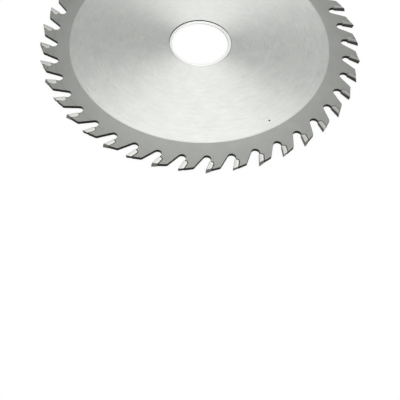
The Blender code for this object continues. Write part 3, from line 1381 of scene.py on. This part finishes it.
@dataclass
class ReducingRing:
    """The turned ring in the bore, its section swept round the axis.

    It reaches a little under the mouth of the bore, so that no gap shows.
    """

    packed_radius: float
    bottom: float
    top: float
    reach_under: float = 0.09 * MM
    inner: float = HOLE_RADIUS
    hole_offset: Triple = HOLE_PLACE
    chamfer: float = 0.12 * MM
    steps: int = 240

    @property
    def outer(self) -> float:
        """The ring's outer radius."""
        return self.packed_radius + self.reach_under

    @property
    def middle(self) -> float:
        """The radius of the line that the section is swept along."""
        return (self.outer + self.inner) / 2

    def section(self) -> bpy.types.Mesh:
        """Draw the ring's section as a closed line.

        Returns:
            The line's mesh, with x out from the middle radius and y up the axis.
        """
        cut = self.chamfer
        points = [
            (self.outer, self.top - cut), (self.outer - cut, self.top),
            (self.inner + cut, self.top), (self.inner, self.top - cut),
            (self.inner, self.bottom + cut), (self.inner + cut, self.bottom),
            (self.outer - cut, self.bottom), (self.outer, self.bottom + cut),
        ]
        mesh = bpy.data.meshes.new("ring_section")
        loop = [(i, (i + 1) % len(points)) for i in range(len(points))]
        mesh.from_pydata([(radius - self.middle, up, 0.0) for radius, up in points], loop, [])
        return mesh

    def build(self) -> bpy.types.Object:
        """Sweep the section round the axis, move the hole to its place and dress the ring.

        Returns:
            The piece.
        """
        recipe = GeometryRecipe("Ring Turned Round The Axis")
        radius = recipe.take("Middle Radius", "Float", self.middle)
        steps = recipe.take("Steps", "Int", self.steps)
        offset = recipe.take("Hole Offset", "Vector", self.hole_offset)
        path = recipe.add("GeometryNodeCurvePrimitiveCircle", {"Resolution": steps, "Radius": radius})
        section = recipe.add("GeometryNodeMeshToCurve", {"Mesh": recipe.geometry})
        swept = recipe.add("GeometryNodeCurveToMesh", {"Curve": path, "Profile Curve": section})
        here = recipe.add("GeometryNodeInputPosition")
        within = recipe.add("FunctionNodeCompare", {
            0: from_upright(recipe.tree, here), 1: radius,
        }, operation="LESS_THAN")
        moved = recipe.add("GeometryNodeSetPosition", {
            "Geometry": swept, "Selection": within, "Offset": offset,
        })
        mesh = recipe.use(self.section(), recipe.dress(moved.outputs[0], Finish.RING), "turned_ring")
        bm = bmesh.new()
        bm.from_mesh(mesh)
        bmesh.ops.recalc_face_normals(bm, faces=bm.faces)
        bm.to_mesh(mesh)
        bm.free()
        smooth_where_round(mesh)
        return bring(mesh, "turned_ring", ["reducing_ring"])


@dataclass(frozen=True)
class SoftLight:
    """A wide soft light of the studio, seen from the blade as a round patch that fades at its edge.

    The azimuth is 0 behind the blade and 90 to the camera's right, and the elevation passes 90 for a light
    that leans over towards the camera.
    """

    azimuth: float
    elevation: float
    core: float
    edge: float
    strength: float

    def towards(self, camera_azimuth: float) -> Vector:
        """Find the direction from the blade to the light's middle.

        Args:
            camera_azimuth: The angle in degrees that the camera stands at round the blade.

        Returns:
            The direction, with a length of one.
        """
        turn = math.radians(camera_azimuth - self.azimuth)
        rise = math.radians(self.elevation)
        return Vector((-math.sin(turn) * math.cos(rise), math.cos(turn) * math.cos(rise), math.sin(rise)))


@dataclass
class Studio:
    """The table, the light and the camera."""

    table_z: float
    table_size: float = 3.0
    azimuth: float = 4.408
    elevation: float = 55.155
    roll: float = 3.579
    distance: float = 306.21 * MM
    aim: tuple[float, float] = (8.593 * MM, -67.425 * MM)
    lens: float = 85.922
    surround: float = 0.2
    table_white: float = 0.9
    lights: tuple[SoftLight, ...] = (
        SoftLight(azimuth=-3.4, elevation=110.6, core=31.6, edge=76.1, strength=1.49),
        SoftLight(azimuth=19.5, elevation=13.7, core=27.6, edge=39.1, strength=0.32),
    )

    def build(self) -> None:
        """Make the table, the light and the camera."""
        self.lay_table()
        self.light()
        self.set_camera()
        bpy.context.scene.view_settings.view_transform = "Standard"

    def lay_table(self) -> None:
        """Make the white table that the blade lies on."""
        mesh = bpy.data.meshes.new("table")
        half = self.table_size / 2
        corners = [(-half, -half), (half, -half), (half, half), (-half, half)]
        mesh.from_pydata([(x, y, self.table_z) for x, y in corners], [], [(0, 1, 2, 3)])
        table = bpy.data.objects.new("table", mesh)
        bpy.context.scene.collection.objects.link(table)
        material = bpy.data.materials.new("white_table")
        material.use_nodes = True
        tree = material.node_tree
        tree.nodes.remove(tree.nodes["Principled BSDF"])
        lit = add(tree, "ShaderNodeBsdfDiffuse", {"Color": linear("#F0F0F0")})
        plain = add(tree, "ShaderNodeEmission", {"Color": linear("#FFFFFF"), "Strength": 1.0})
        rays = add(tree, "ShaderNodeLightPath").outputs
        seen = add(tree, "ShaderNodeMath", {
            0: rays["Is Camera Ray"], 1: rays["Is Glossy Ray"],
        }, operation="MAXIMUM")
        shown = add(tree, "ShaderNodeMath", {0: seen, 1: rays["Is Transmission Ray"]}, operation="MAXIMUM")
        share = add(tree, "ShaderNodeMath", {0: shown, 1: self.table_white}, operation="MULTIPLY")
        mix = add(tree, "ShaderNodeMixShader", {0: share, 1: lit, 2: plain})
        tree.links.new(mix.outputs[0], tree.nodes["Material Output"].inputs["Surface"])
        mesh.materials.append(material)
        table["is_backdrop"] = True

    def light(self) -> None:
        """Light the studio: a wide soft light over the blade, a weak one behind it, and a dim surround."""
        world = bpy.data.worlds.new("studio")
        bpy.context.scene.world = world
        world.use_nodes = True
        tree = world.node_tree
        direction = add(tree, "ShaderNodeTexCoord").outputs["Generated"]
        level: Node | float = self.surround
        for light in self.lights:
            along = add(tree, "ShaderNodeVectorMath", {
                0: direction, 1: light.towards(self.azimuth),
            }, operation="DOT_PRODUCT")
            patch = add(tree, "ShaderNodeMapRange", {
                "Value": along, "To Max": light.strength,
                "From Min": math.cos(math.radians(light.edge)),
                "From Max": math.cos(math.radians(light.core)),
            }, interpolation_type="SMOOTHSTEP")
            level = add(tree, "ShaderNodeMath", {0: level, 1: patch}, operation="ADD")
        rays = add(tree, "ShaderNodeLightPath")
        strength = add(tree, "ShaderNodeMix", {
            "Factor": rays.outputs["Is Camera Ray"], "A": level, "B": 1.0,
        }, data_type="FLOAT")
        background = tree.nodes["Background"]
        background.inputs["Color"].default_value = linear("#FFFFFF")
        tree.links.new(strength.outputs[0], background.inputs["Strength"])

    def set_camera(self) -> None:
        """Aim the camera at the table in front of the blade."""
        turn = math.radians(self.azimuth)
        tilt = math.radians(self.elevation)
        back = Vector((math.sin(turn) * math.cos(tilt), -math.cos(turn) * math.cos(tilt), math.sin(tilt)))
        camera = bpy.data.objects.new("camera", bpy.data.cameras.new("camera"))
        camera.data.lens = self.lens
        camera.data.clip_start = 10 * MM
        look = (-back).to_track_quat("-Z", "Y").to_matrix()
        camera.matrix_world = (
            Matrix.Translation(Vector((*self.aim, self.table_z)) + back * self.distance)
            @ (look @ Matrix.Rotation(math.radians(self.roll), 3, "Z")).to_4x4()
        )
        bpy.context.scene.collection.objects.link(camera)
        bpy.context.scene.camera = camera


def main() -> None:
    """Build the blade's pieces in order, then the studio."""
    logging.basicConfig(level=logging.INFO, format="%(name)s: %(message)s")
    packed_low, packed_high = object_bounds()
    ring_low, ring_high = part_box("reducing_ring")
    tip_nodes = sorted(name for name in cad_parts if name.startswith("carbide_tip"))

    form = ToothForm(teeth=len(tip_nodes), tip_radius=packed_high.x)
    plate = Plate(form)
    plate.build()
    tips = Tips(form, kerf=packed_high.z - packed_low.z, nodes=tip_nodes)
    tips.build()
    Braze(form, tips, plate_z=plate.thickness / 2).build()
    ReducingRing(packed_radius=ring_high.x, bottom=ring_low.z, top=ring_high.z).build()
    Studio(table_z=packed_low.z).build()


if __name__ == "__main__":
    main()
